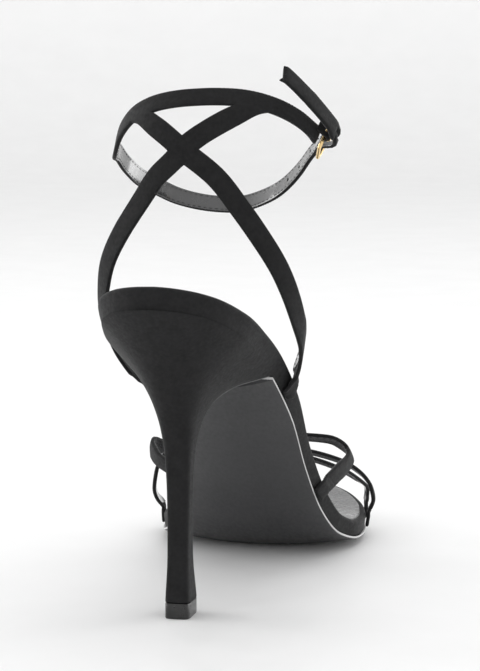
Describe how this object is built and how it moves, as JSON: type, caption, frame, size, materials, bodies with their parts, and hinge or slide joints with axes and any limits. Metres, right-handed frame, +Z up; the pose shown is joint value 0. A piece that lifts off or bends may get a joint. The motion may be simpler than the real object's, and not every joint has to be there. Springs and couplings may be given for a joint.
{
  "type": "strappy heeled sandal",
  "caption": "Open strappy sandal on a high thin heel, with straps crossing behind the ankle, a buckled ankle loop and narrow toe straps.",
  "frame": {"origin": "centre of the heel tip's face, on the floor", "axes": "+Y towards the toe, +X towards the outer side of a right foot, +Z up"},
  "size_m": [0.0858, 0.2106, 0.1703],
  "materials": {
    "cover": "matte black, suede-like",
    "sole": "smooth dark grey",
    "tip": "satin black",
    "gold": "polished"
  },
  "bodies": {
    "root": {"footbed": "cover", "outsole": "sole", "heel": "cover", "heel_top_piece": "tip", "ankle_harness": "cover", "toe_straps": "cover", "buckle_keeper": "cover", "buckle_frame": "gold", "buckle_prong": "gold"}
  },
  "joints": []
}
